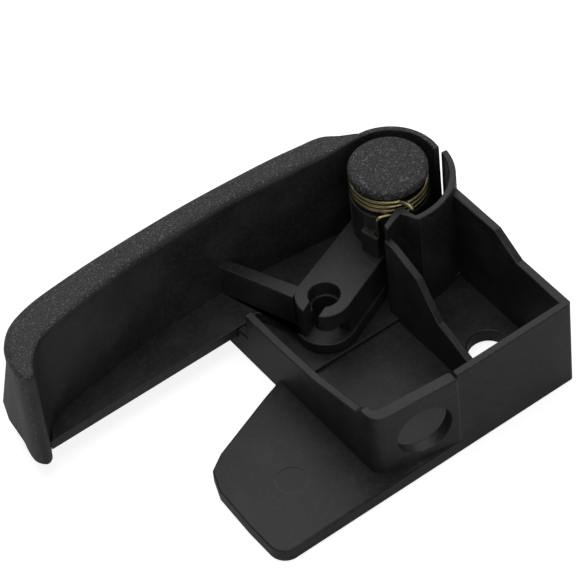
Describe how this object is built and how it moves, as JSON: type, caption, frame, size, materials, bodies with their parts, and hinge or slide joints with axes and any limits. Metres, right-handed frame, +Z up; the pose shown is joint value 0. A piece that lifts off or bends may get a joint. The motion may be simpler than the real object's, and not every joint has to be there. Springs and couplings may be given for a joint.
{
  "type": "hood release handle",
  "caption": "Hand lever on a moulded box bracket, with a cable hook, a sheath hole, a headed pivot pin and a return spring.",
  "frame": {"origin": "where the lever's pivot axis meets the bracket's mounting face", "axes": "+Z up the pivot axis, away from the panel; the grip points along -X; the wall with the sheath hole faces -Y"},
  "size_m": [0.1078, 0.0709, 0.0347],
  "materials": {
    "bracket_plastic": "satin black",
    "lever_plastic": "satin black, grained on the grip's top",
    "pin_plastic": "black, grained",
    "spring_steel": "yellow zinc plated"
  },
  "bodies": {
    "base": {"bracket": "bracket_plastic", "pivot_pin": "pin_plastic", "spring": "spring_steel"},
    "pull": {"lever": "lever_plastic"}
  },
  "joints": [
    {"name": "pull_hinge", "type": "hinge", "parent": "base", "child": "pull", "pos_m": [0, 0, 0], "axis": [0, 0, -1], "range_deg": [0, 50], "stiffness_Nm_per_rad": 0.13, "springref_deg": -34.38, "deforming": ["spring"]}
  ]
}
